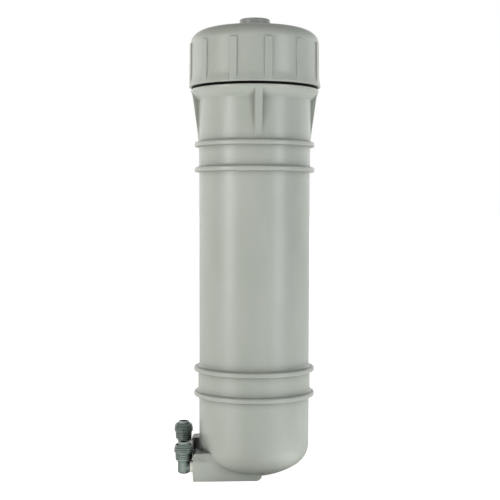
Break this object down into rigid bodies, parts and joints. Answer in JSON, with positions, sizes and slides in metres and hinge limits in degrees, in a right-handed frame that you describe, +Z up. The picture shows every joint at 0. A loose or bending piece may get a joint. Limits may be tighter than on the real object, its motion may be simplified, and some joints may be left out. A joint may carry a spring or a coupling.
{
  "type": "cartridge filter housing",
  "caption": "Tall cylindrical cartridge filter housing with a ribbed screw cap, a vent plug, strap rings and push-fit tube elbows at its foot.",
  "frame": {"origin": "on the vessel's axis at the middle of the lower strap band, midway between the two lower rings", "axes": "+Z up the vessel's axis towards the screw cap, -X towards the port arms and elbows, +Y the inlet side"},
  "size_m": [0.122, 0.1104, 0.3815],
  "materials": {
    "housing_plastic": "satin, fine moulded texture",
    "cap_plastic": "satin, fine moulded texture",
    "plug_plastic": "smooth semi-gloss",
    "seal_rubber": "smooth black",
    "fitting_plastic": "satin",
    "collet_plastic": "satin",
    "thread_tape": "thin white PTFE tape",
    "spring_steel": "bright",
    "cartridge_plastic": "smooth white",
    "filter_media": "pleated non-woven"
  },
  "bodies": {
    "vessel": {"vessel_body": "housing_plastic", "cartridge_bottom_cap": "cartridge_plastic", "cartridge_top_cap": "cartridge_plastic", "cartridge_core": "cartridge_plastic", "pleated_media": "filter_media", "cartridge_cage": "cartridge_plastic", "cartridge_spigot_seals": "seal_rubber", "inlet_elbow": "fitting_plastic", "inlet_thread_tape": "thread_tape", "inlet_tube_seal": "seal_rubber", "inlet_grab_ring": "spring_steel", "inlet_collet_seat": "fitting_plastic", "outlet_elbow": "fitting_plastic", "outlet_thread_tape": "thread_tape", "outlet_tube_seal": "seal_rubber", "outlet_grab_ring": "spring_steel", "outlet_collet_seat": "fitting_plastic"},
    "cap_seal": {"cap_seal_ring": "seal_rubber"},
    "cap": {"screw_cap": "cap_plastic"},
    "plug_seal": {"bleed_plug_seal": "seal_rubber"},
    "plug": {"bleed_plug": "plug_plastic"},
    "inlet_collet": {"inlet_collet": "collet_plastic"},
    "outlet_collet": {"outlet_collet": "collet_plastic"}
  },
  "joints": [
    {"name": "cap_rise", "type": "slide", "parent": "vessel", "child": "cap_seal", "axis": [0, 0, 1], "range_m": [0, 0.01251]},
    {"name": "cap_turn", "type": "hinge", "parent": "cap_seal", "child": "cap", "pos_m": [0, 0, 0.24495], "axis": [0, 0, 1], "range_deg": [0, 900]},
    {"name": "plug_rise", "type": "slide", "parent": "cap", "child": "plug_seal", "axis": [0, 0, 1], "range_m": [0, 0.00601]},
    {"name": "plug_turn", "type": "hinge", "parent": "plug_seal", "child": "plug", "pos_m": [0, 0, 0.29355], "axis": [0, 0, 1], "range_deg": [0, 720]},
    {"name": "inlet_collet_press", "type": "slide", "parent": "vessel", "child": "inlet_collet", "axis": [0, 0, -1], "range_m": [0, 0.0013], "stiffness_N_per_m": 100},
    {"name": "outlet_collet_press", "type": "slide", "parent": "vessel", "child": "outlet_collet", "axis": [0, 0, -1], "range_m": [0, 0.0013], "stiffness_N_per_m": 100}
  ],
  "couplings": [
    {"joint": "cap_rise", "follows": "cap_turn", "m_per_rad": 0.00079577},
    {"joint": "plug_rise", "follows": "plug_turn", "m_per_rad": 0.00047746}
  ]
}
